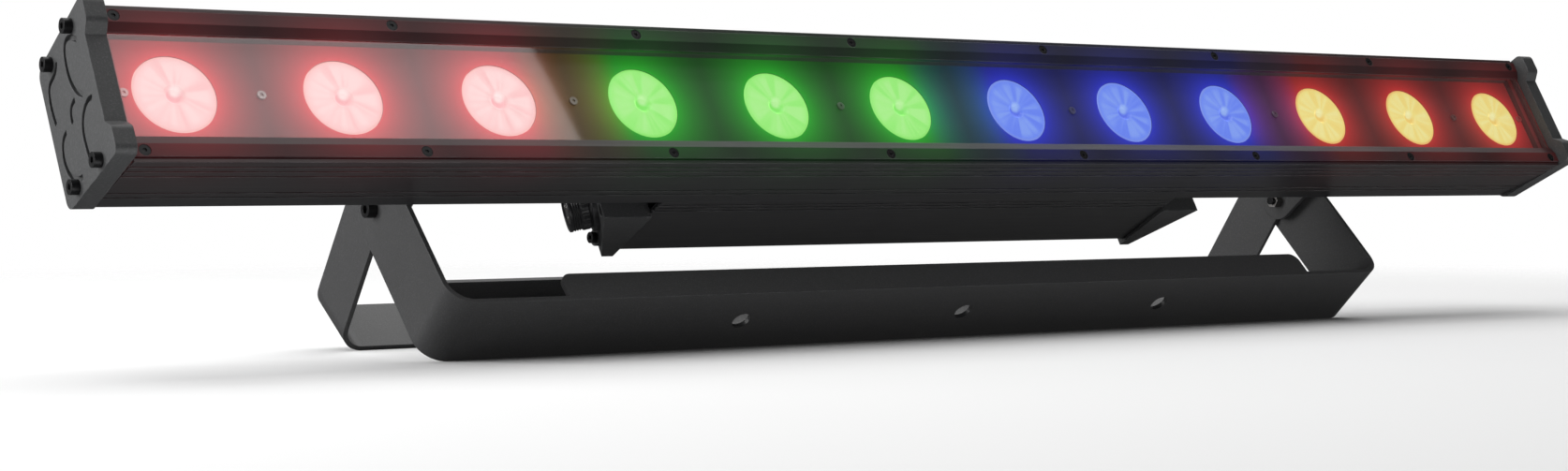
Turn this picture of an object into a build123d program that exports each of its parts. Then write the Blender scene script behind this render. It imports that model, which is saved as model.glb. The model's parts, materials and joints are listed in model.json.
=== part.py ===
from build123d import *
import os
from math import atan2, cos, degrees, hypot, radians, sin

os.makedirs("parts", exist_ok=True)

# Stage batten: a row of twelve LED lenses in a tilting bar, carried by two crossed yokes.
# X runs along the bar, -Y is the side that it lights, +Z is up and the floor is Z = 0.
# Inside the bar, "depth" is measured back from the front of the lens plate and "rise" up its face.

# Lens row: it sets the length of the bar
lens_r = 19.8
lens_gap = 43.733
lens_pitch = 2 * lens_r + lens_gap
zone_lenses = 3
zone_count = 4
lens_count = zone_lenses * zone_count
bar_length = lens_count * lens_pitch

# Housing extrusion
front_half = 40.0
back_half = 34.5
housing_front = 9.0
housing_depth = 41.0
housing_wall = 2.5
web_depth = 22.0
web_thick = 3.0
channel_half = 27.5
seat_half = 31.5
groove_width = 1.4
groove_deep = 0.9
groove_depths = (-3.5, 1.5, 7.0, 25.5, 30.5)
wire_hole_r = 7.0
lead_hole_r = 3.0
lead_rise = 16.0
side_channel_width = 4.0
side_channel_long = 15.0
side_channel_depth = 16.0

# End caps
cap_thick = 10.0
cap_border = 2.0
cap_front = 13.0
boss_front = 18.0
boss_inner = 25.0
boss_round = 4.0
cap_round = 6.0
gasket_thick = 1.0
relief_width = 2.6
relief_deep = 1.8
cap_screw_long = 20.0
cap_screw_hole = 12.0
cap_screw_spots = ((-0.5, 34.0), (28.0, 31.5))

# Bezel strips, glass and lens plate
strip_thick = 2.5
strip_edge = 37.5
strip_flat = 31.0
window_half = 26.5
strip_sink = 1.5
strip_screw_rise = 34.4
strip_screw_long = 5.0
strip_head_r = 2.8
strip_head_high = 1.0
strip_head_sunk = 1.2
strip_drive = 2.0
strip_lip = 0.6
strip_screw_count = 8
glass_thick = 4.0
glass_gasket_wall = 3.6
plate_thick = 2.0
plate_clearance = 0.5
strip_screw_inset = 16.7

# Lenses and LED boards
lens_flange_r = lens_r + 1.0
lens_flange_thick = 1.5
lens_foot_r = 8.0
lens_well_r = 5.0
lens_well_deep = 3.0
lens_clearance = 0.2
board_half = 22.0
board_thick = 1.6
board_margin = 22.0
emitter_r = 4.0
emitter_thick = 1.2
standoff_r = 2.8
plate_screw_long = 8.0
plate_head_r = 2.2
plate_head_high = 1.2
plate_drive = 1.6
plate_end_inset = 5.9

# Socket-head screws: M4 for the caps, brackets and driver box, M3 for the smaller covers
m4_r = 2.0
m4_head_r = 3.5
m4_head_high = 4.0
m4_drive = 3.0
m3_r = 1.5
m3_head_r = 3.0
m3_head_high = 3.0
m3_drive = 2.5
screw_bite = 6.0
screw_end = 1.5

# Driver box
box_length = 369.0
box_depth = 53.0
box_wall = 2.5
box_round = 3.0
box_port = 8.0
port_inset = 5.5
port_near = 18.0
port_hole_r = 1.6
box_groove_depths = (44.5, 47.5, 50.5)
box_groove_width = 1.0
box_groove_deep = 0.8
box_screw_inset = 40.0
box_screw_rise = 20.0
box_head_high = 3.0
cap_overhang = 2.0
wedge_near = 29.0
wedge_far = 7.0
neck_depth = 12.0
neck_half = 24.0
panel_length = 114.0
panel_half = 26.0
panel_proud = 5.0
panel_lap = 6.0
panel_round = 4.0
display_length = 40.0
display_half = 9.0
display_thick = 1.5
button_r = 4.0
button_gap = 0.2
button_pitch = 12.0
button_travel = 0.8
button_proud = 1.6
power_r = 11.5
power_rise = -17.5
data_r = 8.0
data_rise = 15.0
connector_long = 15.0
connector_flange = 3.0
connector_rim = 1.8
connector_wall = 1.5
insert_share = 0.55
insert_sunk = 0.5
mouth_deep = 3.5
rib_count = 16
rib_width = 1.4
rib_proud = 0.4
rib_long = 8.0

# Stand: two yokes of flat strip that cross on one pivot axis
tilt = 29.6
pivot_depth = 78.3
pivot_rise = -16.5
yoke_width = 656.0
strip = 2.5
bend_r = 14.0
front_reach = 85.7
front_inner = 16.9
front_outer = 25.3
rear_reach = 87.0
rear_inner = 3.0
rear_outer = 32.0
front_angle = 44.4
front_top = 13.0
rear_top = 11.0
top_round = 11.0
ear_r = 14.0
flange_high = 17.0
flange_length = 524.0
flange_round = 6.0
hole_pitch = 150.0
hole_r = 5.25
hole_count = 3

# Power module inside the driver box
module_front = 50.0
module_back = housing_depth + box_depth - 12.0
module_left = -170.0
module_long = 108.0
fin_pitch = 16.0
fin_thick = 6.0
fin_wide = 40.0
fin_high = 3.0
fin_count = 6

# Pivot and bracket hardware
pivot_r = 2.5
pivot_head_r = 4.25
pivot_head_high = 5.0
pivot_socket = 4.0
pivot_clearance = 0.08
washer_r = 10.0
washer_thick = 0.8
washer_gap = 1.0
nut_across = 8.0
nut_high = 5.0
bracket_thick = 3.0
bracket_r = 12.0
bracket_foot = 26.0
bracket_foot_low = -22.0
bracket_foot_high = 22.0
foot_edge = 9.0
fit = 0.1

# Heights that follow: the front yoke's lower edge and the rear yoke's both touch the floor
front_a = radians(front_angle)
pivot_height = front_reach * cos(front_a) + front_inner * sin(front_a)
rear_span = hypot(rear_reach, rear_inner)
rear_slant = degrees(atan2(rear_inner, rear_reach))
rear_low = pivot_height / rear_span


def arc_cosine(ratio):
    """Angle in degrees whose cosine is the ratio."""
    return degrees(atan2((1 - ratio * ratio) ** 0.5, ratio))


rear_angle = arc_cosine(rear_low) + rear_slant
rear_a = radians(rear_angle)
tilt_a = radians(tilt)

# The origin is under the middle of the whole stand, so the pivot stands off it
corner_loss = boss_round * (cos(tilt_a) + sin(tilt_a) - 1)
front_most = (pivot_depth + boss_front) * cos(tilt_a) + (front_half + pivot_rise) * sin(tilt_a)
front_most = front_most - corner_loss
rear_most = rear_reach * sin(rear_a) + rear_outer * cos(rear_a)
pivot = Vector(0, (front_most - rear_most) / 2, pivot_height)

outward = Vector(0, -cos(tilt_a), sin(tilt_a))
upward = Vector(0, sin(tilt_a), cos(tilt_a))
lens_centre = pivot + outward * pivot_depth - upward * pivot_rise


def face_plane(depth, x=0.0, rise=0.0):
    """Plane facing out of the bar at a depth, with its own X along the bar and Y up the face."""
    origin = lens_centre - outward * depth + upward * rise + Vector(x, 0, 0)
    return Plane(origin=origin, x_dir=(1, 0, 0), z_dir=outward)


def section_plane(x):
    """Cross-section of the bar at x: its own X is depth, its own Y is rise and its normal is +X."""
    origin = lens_centre + Vector(x, 0, 0)
    return Plane(origin=origin, x_dir=outward * -1, z_dir=(1, 0, 0))


def end_plane(x, side):
    """Plane at x that faces away from the middle of the bar: its own X is depth."""
    return Plane(origin=lens_centre + Vector(x, 0, 0), x_dir=outward * -1, z_dir=(side, 0, 0))


def back_plane(depth):
    """Plane facing out of the back of the bar at a depth: its own X is along the bar."""
    return Plane(origin=lens_centre - outward * depth, x_dir=(1, 0, 0), z_dir=outward * -1)


def plan_plane(rise):
    """Plane facing up the bar at a rise: its own X is along the bar and its own Y is depth."""
    return Plane(origin=lens_centre + upward * rise, x_dir=(1, 0, 0), z_dir=upward)


def save(piece, name):
    """Label a finished piece and write its STEP file."""
    piece.part.label = name
    export_step(piece.part, f"parts/{name}.step")


def block(depth_low, depth_high, half, x_low, x_high, rise=0.0, mode=Mode.ADD):
    """Straight block of the bar between two depths, two x and plus or minus half about a rise."""
    with BuildSketch(section_plane(x_low)) as section:
        with Locations(((depth_low + depth_high) / 2, rise)):
            Rectangle(depth_high - depth_low, 2 * half)
    extrude(section.sketch, amount=x_high - x_low, mode=mode)


def rods(plane, points, radius, length, mode=Mode.ADD):
    """Round rods or holes that run back from a plane at several points."""
    with BuildSketch(plane) as rounds:
        with Locations(*points):
            Circle(radius)
    extrude(rounds.sketch, amount=-length, mode=mode)


def screws(plane, points, shank_r, head_r, head_high, length, drive):
    """Screws with a hexagonal socket: heads stand on the plane and shanks run back from it."""
    rods(plane, points, shank_r, length)
    rods(plane.offset(head_high), points, head_r, head_high)
    with BuildSketch(plane.offset(head_high)) as sockets:
        with Locations(*points):
            RegularPolygon(drive / 2, 6, major_radius=False)
    extrude(sockets.sketch, amount=-head_high * 0.55, mode=Mode.SUBTRACT)


housing_half = bar_length / 2 - cap_thick - gasket_thick
plate_half = housing_half - plate_clearance
window_long = bar_length / 2 - cap_thick
taper = (front_half - back_half) / (housing_front + housing_depth)
strip_front = housing_front + strip_thick - strip_sink
strip_back = strip_front - strip_thick
glass_front = strip_back
glass_back = glass_front - glass_thick
board_front = web_depth - board_thick
lens_x = [(i - (lens_count - 1) / 2) * lens_pitch for i in range(lens_count)]
strip_screw_x = bar_length / 2 - strip_screw_inset
strip_screw_step = 2 * strip_screw_x / (strip_screw_count - 1)
lead_points = [(x, lead_rise) for x in lens_x[1::zone_lenses]]
strip_xs = [i * strip_screw_step - strip_screw_x for i in range(strip_screw_count)]
inner_plate_x = [i * lens_pitch for i in range(-lens_count // 2 + 1, lens_count // 2, 2)]
plate_end_x = plate_half - plate_end_inset
plate_points = [(x, 0) for x in (-plate_end_x, *inner_plate_x, plate_end_x)]
strip_points = [(x, r * strip_screw_rise) for x in strip_xs for r in (-1, 1)]
cap_points = [(d, r * rise) for d, rise in cap_screw_spots for r in (-1, 1)]
box_half = box_length / 2
box_back = housing_depth + box_depth
pivot_bolt_x = yoke_width / 2
front_arm_in = yoke_width / 2 - strip
rear_arm_out = front_arm_in - washer_gap
rear_arm_in = rear_arm_out - strip
bracket_out = rear_arm_in - washer_gap
bracket_in = bracket_out - bracket_thick
foot_screw_x = bracket_in - bracket_foot / 2
foot_rises = (bracket_foot_low + foot_edge, bracket_foot_high - foot_edge)
foot_points = [(side * foot_screw_x, r) for side in (-1, 1) for r in foot_rises]
box_screw_x = box_half - box_screw_inset
box_points = [(sx * box_screw_x, sy * box_screw_rise) for sx in (-1, 1) for sy in (-1, 1)]


def side_rise(depth):
    """Half height of the housing at a depth."""
    return front_half - taper * (depth + housing_front)


# Housing: extruded aluminium, open at the front, with a web that carries the LED boards
with BuildPart() as housing:
    with BuildSketch(section_plane(-housing_half)):
        with BuildLine():
            Polyline(
                (-housing_front, front_half),
                (housing_depth, back_half),
                (housing_depth, -back_half),
                (-housing_front, -front_half),
                close=True,
            )
        make_face()
        front_cut = housing_front - strip_back
        with Locations((-housing_front + front_cut / 2, 0)):
            Rectangle(front_cut, 2 * (strip_edge + 0.5), mode=Mode.SUBTRACT)
        seat_deep = strip_back + plate_thick
        with Locations((plate_thick - seat_deep / 2, 0)):
            Rectangle(seat_deep, 2 * seat_half, mode=Mode.SUBTRACT)
        with Locations(((plate_thick + web_depth) / 2, 0)):
            Rectangle(web_depth - plate_thick, 2 * channel_half, mode=Mode.SUBTRACT)
        rear_room = housing_depth - housing_wall - web_depth - web_thick
        with Locations((web_depth + web_thick + rear_room / 2, 0)):
            Rectangle(rear_room, 2 * (channel_half - 1), mode=Mode.SUBTRACT)
        channel_rise = channel_half + side_channel_width / 2 + housing_wall
        with Locations((side_channel_depth, channel_rise), (side_channel_depth, -channel_rise)):
            Rectangle(side_channel_long, side_channel_width, mode=Mode.SUBTRACT)
        for depth in groove_depths:
            with Locations((depth, side_rise(depth)), (depth, -side_rise(depth))):
                Rectangle(groove_width, 2 * groove_deep, mode=Mode.SUBTRACT)
    extrude(amount=2 * housing_half)
    for end in (-housing_half, housing_half):
        run = cap_screw_hole if end > 0 else -cap_screw_hole
        rods(section_plane(end), cap_points, m4_r + fit, run, Mode.SUBTRACT)
    rods(face_plane(-strip_back), strip_points, m3_r + fit, strip_screw_long, Mode.SUBTRACT)
    rods(face_plane(housing_depth - housing_wall), foot_points, m4_r + fit, screw_bite, Mode.SUBTRACT)
    rods(face_plane(housing_depth - housing_wall), box_points, m4_r + fit, screw_bite, Mode.SUBTRACT)
    rods(face_plane(web_depth), lead_points, lead_hole_r, 2 * web_thick, Mode.SUBTRACT)
    rods(face_plane(housing_depth - housing_wall), [(0, 0)], wire_hole_r, screw_bite, Mode.SUBTRACT)
save(housing, "housing")


def cap_outline():
    """Side view of an end cap: it borders the housing, with a rounded boss at each front corner."""
    high = front_half
    low = back_half + cap_border
    back = housing_depth + cap_border
    with BuildLine() as outline:
        Polyline(
            (back, low),
            (-boss_front, high),
            (-boss_front, boss_inner + 2),
            (-cap_front, boss_inner - 3),
            (-cap_front, 3 - boss_inner),
            (-boss_front, -boss_inner - 2),
            (-boss_front, -high),
            (back, -low),
            close=True,
        )
    make_face(outline.line)
    fillet(vertices().sort_by(Axis.X)[:4], radius=boss_round)
    fillet(vertices().sort_by(Axis.X)[-2:], radius=cap_round)


def relief_grooves():
    """Curved grooves that decorate the outer face of an end cap."""
    with BuildLine() as curves:
        Spline((-3.6, 25.0), (10.3, 29.0), (12.3, 18.0), (10.0, 9.0), (2.2, 0.6))
        Spline((21.9, 29.0), (27.0, 25.0), (34.1, 23.5), (36.9, 15.0), (35.8, 4.7))
        Spline((11.5, 3.2), (17.5, 1.6), (18.7, -4.6))
        Spline((-6.0, -6.0), (1.8, -5.1), (9.0, -11.0), (10.4, -18.1), (8.7, -30.0))
        Spline((27.0, -4.1), (34.5, -8.5), (35.3, -16.2), (31.5, -24.5), (20.5, -30.5))
    trace(curves.line, line_width=relief_width)


def end_cap(side):
    """Cast end cap with a relief on its outer face and four screw holes."""
    inner = side * (bar_length / 2 - cap_thick)
    outer = side * bar_length / 2
    with BuildPart() as cap:
        with BuildSketch(section_plane(inner)):
            cap_outline()
        extrude(amount=side * cap_thick)
        with BuildSketch(section_plane(outer)):
            relief_grooves()
        extrude(amount=-side * relief_deep, mode=Mode.SUBTRACT)
        rods(section_plane(outer), cap_points, m4_r + fit, side * cap_thick, Mode.SUBTRACT)
    return cap


def end_gasket(side):
    """Flat rubber gasket between the housing and an end cap."""
    with BuildPart() as gasket:
        with BuildSketch(section_plane(side * housing_half)):
            with BuildLine():
                Polyline(
                    (-housing_front + 2, front_half - 1),
                    (housing_depth - 1, back_half - 1),
                    (housing_depth - 1, 1 - back_half),
                    (-housing_front + 2, 1 - front_half),
                    close=True,
                )
            make_face()
            with Locations(((web_depth + plate_thick) / 2, 0)):
                Rectangle(web_depth - plate_thick, 2 * channel_half - 4, mode=Mode.SUBTRACT)
            with Locations(*cap_points):
                Circle(m4_r + fit, mode=Mode.SUBTRACT)
        extrude(amount=side * gasket_thick)
    return gasket


for side, hand in ((-1, "left"), (1, "right")):
    save(end_cap(side), f"end_cap_{hand}")
    save(end_gasket(side), f"end_gasket_{hand}")

with BuildPart() as end_cap_screws:
    for side in (-1, 1):
        face = end_plane(side * bar_length / 2, side)
        screws(face, cap_points, m4_r, m4_head_r, m4_head_high, cap_screw_long, m4_drive)
save(end_cap_screws, "end_cap_screws")


def bezel_strip(side):
    """Long strip that clamps the glass, bevelled towards the window."""
    with BuildPart() as piece:
        with BuildSketch(section_plane(-window_long + fit)):
            with BuildLine():
                Polyline(
                    (-strip_front, side * strip_edge),
                    (-strip_front, side * strip_flat),
                    (-strip_back - strip_lip, side * window_half),
                    (-strip_back, side * window_half),
                    (-strip_back, side * strip_edge),
                    close=True,
                )
            make_face()
        extrude(amount=2 * (window_long - fit))
        holes = [(x, side * strip_screw_rise) for x in strip_xs]
        rods(face_plane(-strip_front), holes, m3_r + fit, strip_thick, Mode.SUBTRACT)
        rods(face_plane(-strip_front), holes, strip_head_r + fit, strip_head_sunk, Mode.SUBTRACT)
    return piece


save(bezel_strip(1), "bezel_strip_top")
save(bezel_strip(-1), "bezel_strip_bottom")

# Bezel screws: flat heads sunk in the strips
with BuildPart() as bezel_screws:
    sunk = face_plane(strip_head_sunk - strip_front)
    screws(sunk, strip_points, m3_r, strip_head_r, strip_head_high, strip_screw_long, strip_drive)
save(bezel_screws, "bezel_screws")

with BuildPart() as front_glass:
    block(-glass_front, -glass_back, seat_half - 0.5, -plate_half, plate_half)
save(front_glass, "front_glass")

with BuildPart() as glass_gasket:
    with BuildSketch(face_plane(0)):
        Rectangle(2 * plate_half, 2 * (seat_half - 0.3))
        ring_long = 2 * (plate_half - glass_gasket_wall)
        Rectangle(ring_long, 2 * (seat_half - glass_gasket_wall), mode=Mode.SUBTRACT)
    extrude(amount=glass_back)
save(glass_gasket, "glass_gasket")

# Lens plate: black sheet that holds the lenses by their flanges
with BuildPart() as lens_plate:
    block(0, plate_thick, seat_half - 0.3, -plate_half, plate_half)
    rods(face_plane(0), [(x, 0) for x in lens_x], lens_r + lens_clearance, plate_thick, Mode.SUBTRACT)
    rods(face_plane(0), plate_points, m3_r + fit, plate_thick, Mode.SUBTRACT)
save(lens_plate, "lens_plate")

with BuildPart() as plate_screws:
    screws(face_plane(0), plate_points, m3_r, plate_head_r, plate_head_high, plate_screw_long, plate_drive)
save(plate_screws, "plate_screws")

with BuildPart() as plate_standoffs:
    rods(face_plane(plate_thick), plate_points, standoff_r, web_depth - plate_thick)
    hole_deep = plate_screw_long - plate_thick + 1
    rods(face_plane(plate_thick), plate_points, m3_r + fit, hole_deep, Mode.SUBTRACT)
save(plate_standoffs, "plate_standoffs")


def lens(x):
    """Moulded collimating lens: a flat front, a flange behind the plate and a cone to the LED."""
    axis_plane = Plane(
        origin=lens_centre + Vector(x, 0, 0),
        x_dir=(1, 0, 0),
        z_dir=upward * -1,
    )
    with BuildPart() as piece:
        with BuildSketch(axis_plane):
            with BuildLine():
                Polyline(
                    (0, 0),
                    (lens_r, 0),
                    (lens_r, -plate_thick),
                    (lens_flange_r, -plate_thick),
                    (lens_flange_r, -plate_thick - lens_flange_thick),
                    (lens_r - 1, -plate_thick - lens_flange_thick),
                    (lens_foot_r, -board_front),
                    (lens_well_r, -board_front),
                    (lens_well_r, lens_well_deep - board_front),
                    (0, lens_well_deep - board_front),
                    close=True,
                )
            make_face()
        revolve(axis=Axis(origin=axis_plane.origin, direction=outward))
    return piece


for i, x in enumerate(lens_x):
    save(lens(x), f"lens_{i + 1:02d}")

for zone in range(zone_count):
    xs = lens_x[zone * zone_lenses:(zone + 1) * zone_lenses]
    board_long = zone_lenses * lens_pitch - 2 * board_margin
    board_low = xs[zone_lenses // 2] - board_long / 2
    posts = [(x, 0) for x in inner_plate_x if abs(x - xs[zone_lenses // 2]) < board_long / 2]
    with BuildPart() as led_board:
        block(board_front, web_depth, board_half, board_low, board_low + board_long)
        rods(face_plane(board_front), posts, standoff_r + 0.4, board_thick, Mode.SUBTRACT)
    save(led_board, f"led_board_{zone + 1}")
    with BuildPart() as led_emitters:
        spots = [(x, 0) for x in xs]
        rods(face_plane(board_front - emitter_thick), spots, emitter_r, emitter_thick)
    save(led_emitters, f"led_emitters_{zone + 1}")

# Wiring: a flat loom behind the web, with a branch through the wire hole
loom_depth = web_depth + web_thick + 1.0
loom_thick = 3.0
loom_half = 8.0
branch_r = 5.0
loom_end = 6.0
branch_long = housing_depth + box_wall + loom_end - loom_depth - loom_thick
with BuildPart() as wiring_harness:
    block(loom_depth, loom_depth + loom_thick, loom_half, -lens_x[-2], lens_x[-2])
    rods(face_plane(loom_depth + loom_thick), [(0, 0)], branch_r, branch_long)
save(wiring_harness, "wiring_harness")

# Driver box: a tube screwed to the back of the housing, with ports for its end-cap screws
port_rise = back_half - port_inset
port_depths = (housing_depth + port_near, box_back - port_inset)
port_points = [(d, r * port_rise) for d in port_depths for r in (-1, 1)]
panel_cut_half = panel_length / 2 - panel_lap
with BuildPart() as driver_box:
    with BuildSketch(section_plane(-box_half)):
        with Locations((housing_depth + box_depth / 2, 0)):
            Rectangle(box_depth, 2 * back_half)
        fillet(vertices().sort_by(Axis.X)[-2:], radius=box_round)
        with Locations((housing_depth + box_depth / 2, 0)):
            Rectangle(box_depth - 2 * box_wall, 2 * (back_half - box_wall), mode=Mode.SUBTRACT)
        with Locations(*port_points):
            Rectangle(box_port, box_port)
            Circle(port_hole_r, mode=Mode.SUBTRACT)
        for depth in box_groove_depths:
            with Locations((depth, back_half), (depth, -back_half)):
                Rectangle(box_groove_width, 2 * box_groove_deep, mode=Mode.SUBTRACT)
    extrude(amount=box_length)
    rods(face_plane(housing_depth), box_points, m4_r + fit, box_wall, Mode.SUBTRACT)
    rods(face_plane(housing_depth), [(0, 0)], wire_hole_r, box_wall, Mode.SUBTRACT)
    block(box_back - box_wall, box_back, panel_half - 4, -panel_cut_half, panel_cut_half, 0, Mode.SUBTRACT)
save(driver_box, "driver_box")

with BuildPart() as driver_box_screws:
    reach = box_wall + housing_wall + screw_end
    screws(back_plane(housing_depth + box_wall), box_points, m4_r, m4_head_r, box_head_high, reach, m3_drive)
save(driver_box_screws, "driver_box_screws")

# Driver caps: wedges whose slanted faces carry the connectors
wedge_front = housing_depth + neck_depth
wedge_back = box_back + cap_overhang
wedge_run = wedge_near - wedge_far
wedge_deep = wedge_back - wedge_front
cap_seat = 4.0
boss_seat = 13.0
boss_r = 4.5
boss_long = 8.0
near_ports = [point for point in port_points if point[0] < wedge_back - 2 * port_inset]
far_ports = [point for point in port_points if point not in near_ports]
neck_gap = 0.3
pocket_floor = 3.0
pocket_rim = 5.0


def driver_cap(side):
    """Wedge cap with a pocket behind its slanted face, two sunk screw holes and two bosses."""
    end = side * box_half
    with BuildPart() as cap:
        half = back_half + cap_overhang
        with BuildSketch(plan_plane(-half)):
            with BuildLine():
                Polyline(
                    (end, wedge_front),
                    (end + side * wedge_near, wedge_front),
                    (end + side * wedge_far, wedge_back),
                    (end, wedge_back),
                    close=True,
                )
            make_face()
        extrude(amount=2 * half)
        low = min(end, end + side * wedge_near)
        block(housing_depth + neck_gap, wedge_front, neck_half, low, low + wedge_near)
        with BuildSketch(plan_plane(-neck_half)):
            with BuildLine():
                Polyline(
                    (end, wedge_front + pocket_floor),
                    (end + side * (wedge_near - 2 * pocket_floor), wedge_front + pocket_floor),
                    (end + side * (wedge_far - pocket_floor), wedge_back - pocket_rim),
                    (end, wedge_back - pocket_rim),
                    close=True,
                )
            make_face()
        extrude(amount=2 * neck_half, mode=Mode.SUBTRACT)
        rods(end_plane(end + side * boss_seat, side), far_ports, boss_r, boss_long)
        outer = end_plane(end + side * wedge_near, side)
        rods(outer, port_points, m3_r + fit, wedge_near, Mode.SUBTRACT)
        rods(outer, near_ports, m3_head_r + neck_gap, wedge_near - cap_seat, Mode.SUBTRACT)
    return cap


def slant_plane(side):
    """Plane of a slanted face: its own X runs down the slope, away from the bar, from its middle."""
    middle = side * (box_half + (wedge_near + wedge_far) / 2)
    depth = (wedge_front + wedge_back) / 2
    slope = Vector(-side * wedge_run, 0, 0) - outward * wedge_deep
    normal = Vector(side * wedge_deep, 0, 0) - outward * wedge_run
    return Plane(
        origin=lens_centre + Vector(middle, 0, 0) - outward * depth,
        x_dir=slope.normalized(),
        z_dir=normal.normalized(),
    )


def connector(side, rise, radius):
    """Round panel connector: a flange, a ribbed barrel and a shallow mouth around its insert."""
    face = slant_plane(side)
    centre = (0, side * rise)
    with BuildPart() as piece:
        rods(face.offset(connector_flange), [centre], radius + connector_rim, connector_flange)
        rods(face.offset(connector_long), [centre], radius, connector_long - connector_flange)
        rods(face.offset(connector_long), [centre], radius - connector_wall, mouth_deep, Mode.SUBTRACT)
        insert = face.offset(connector_long - insert_sunk)
        rods(insert, [centre], radius * insert_share, mouth_deep - insert_sunk)
        with BuildSketch(face.offset(connector_flange)) as ribs:
            with Locations(centre):
                with PolarLocations(radius, rib_count):
                    Rectangle(2 * rib_proud, rib_width)
        extrude(ribs.sketch, amount=rib_long)
    return piece


with BuildPart() as driver_cap_screws:
    for side in (-1, 1):
        for ports, seat_x in ((near_ports, cap_seat), (far_ports, boss_seat)):
            seat = end_plane(side * (box_half + seat_x), side)
            reach = cap_screw_hole + seat_x - cap_seat
            screws(seat, ports, m3_r, m3_head_r, m3_head_high, reach, m3_drive)
save(driver_cap_screws, "driver_cap_screws")
for side, hand, way in ((-1, "left", "in"), (1, "right", "out")):
    save(driver_cap(side), f"driver_cap_{hand}")
    save(connector(side, power_rise, power_r), f"power_{way}_connector")
    save(connector(side, data_rise, data_r), f"data_{way}_connector")

with BuildPart() as power_module:
    block(module_front, module_back, neck_half, module_left, module_left + module_long)
    with BuildSketch(back_plane(module_back)):
        with Locations((module_left + module_long / 2, 0)):
            with GridLocations(fin_pitch, 0, fin_count, 1):
                Rectangle(fin_thick, fin_wide)
    extrude(amount=fin_high)
save(power_module, "power_module")

# Control panel on the back of the driver box, with a display and four buttons
display_x = -panel_length / 4
button_xs = [panel_length / 2 - (i + 1) * button_pitch for i in range(4)]
panel_front = box_back + panel_proud
button_flange = 1.0
button_skirt = 1.2
button_round = 0.6
with BuildPart() as control_panel:
    with BuildSketch(back_plane(box_back)):
        RectangleRounded(panel_length, 2 * panel_half, panel_round)
        with Locations(*[(x, 0) for x in button_xs]):
            Circle(button_r + button_gap, mode=Mode.SUBTRACT)
    extrude(amount=panel_proud)
    with BuildSketch(back_plane(panel_front)):
        with Locations((display_x, 0)):
            Rectangle(display_length + 2 * button_gap, 2 * display_half + 2 * button_gap)
    extrude(amount=-display_thick, mode=Mode.SUBTRACT)
save(control_panel, "control_panel")

with BuildPart() as display_window:
    with BuildSketch(back_plane(panel_front - display_thick)):
        with Locations((display_x, 0)):
            Rectangle(display_length, 2 * display_half)
    extrude(amount=display_thick)
save(display_window, "display_window")

for i, x in enumerate(button_xs):
    with BuildPart() as button:
        rods(back_plane(box_back), [(x, 0)], button_r + button_skirt, button_flange)
        rods(back_plane(panel_front + button_proud), [(x, 0)], button_r, panel_proud + button_proud)
        fillet(button.edges().sort_by(Axis(origin=lens_centre, direction=outward))[0], radius=button_round)
    save(button, f"button_{i + 1}")

switch_top = box_back - button_flange - button_travel - fit
switch_high = 3.0
switch_r = 3.0
control_half = panel_half - 7.0
board_back = switch_top - switch_high
with BuildPart() as control_board:
    block(board_back - board_thick, board_back, control_half, 2 - panel_cut_half, panel_cut_half - 2)
    rods(back_plane(switch_top), [(x, 0) for x in button_xs], switch_r, switch_high)
save(control_board, "control_board")


def bracket(side):
    """Bracket from the back of the housing to the pivot, folded into a foot with two screws."""
    with BuildPart() as piece:
        with BuildSketch(section_plane(side * bracket_in)):
            middle = (bracket_foot_low + bracket_foot_high) / 2
            with Locations((housing_depth + bracket_thick / 2, middle)):
                Rectangle(bracket_thick, bracket_foot_high - bracket_foot_low)
            with Locations((pivot_depth, pivot_rise)):
                Circle(bracket_r)
            make_hull()
            with Locations((pivot_depth, pivot_rise)):
                Circle(pivot_r + fit, mode=Mode.SUBTRACT)
        extrude(amount=side * bracket_thick)
        foot_end = side * (bracket_in - bracket_foot)
        foot_low, foot_high = sorted((foot_end, side * bracket_in))
        foot_half = (bracket_foot_high - bracket_foot_low) / 2
        block(housing_depth, housing_depth + bracket_thick, foot_half, foot_low, foot_high, middle)
        here = [point for point in foot_points if point[0] * side > 0]
        rods(face_plane(housing_depth), here, m4_r + fit, bracket_thick, Mode.SUBTRACT)
    return piece


save(bracket(-1), "bracket_left")
save(bracket(1), "bracket_right")

with BuildPart() as bracket_screws:
    seat = back_plane(housing_depth + bracket_thick)
    turned = [(x, -rise) for x, rise in foot_points]
    bite = bracket_thick + housing_wall + screw_end
    screws(seat, turned, m4_r, m4_head_r, m4_head_high, bite, m4_drive)
save(bracket_screws, "bracket_screws")


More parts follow.
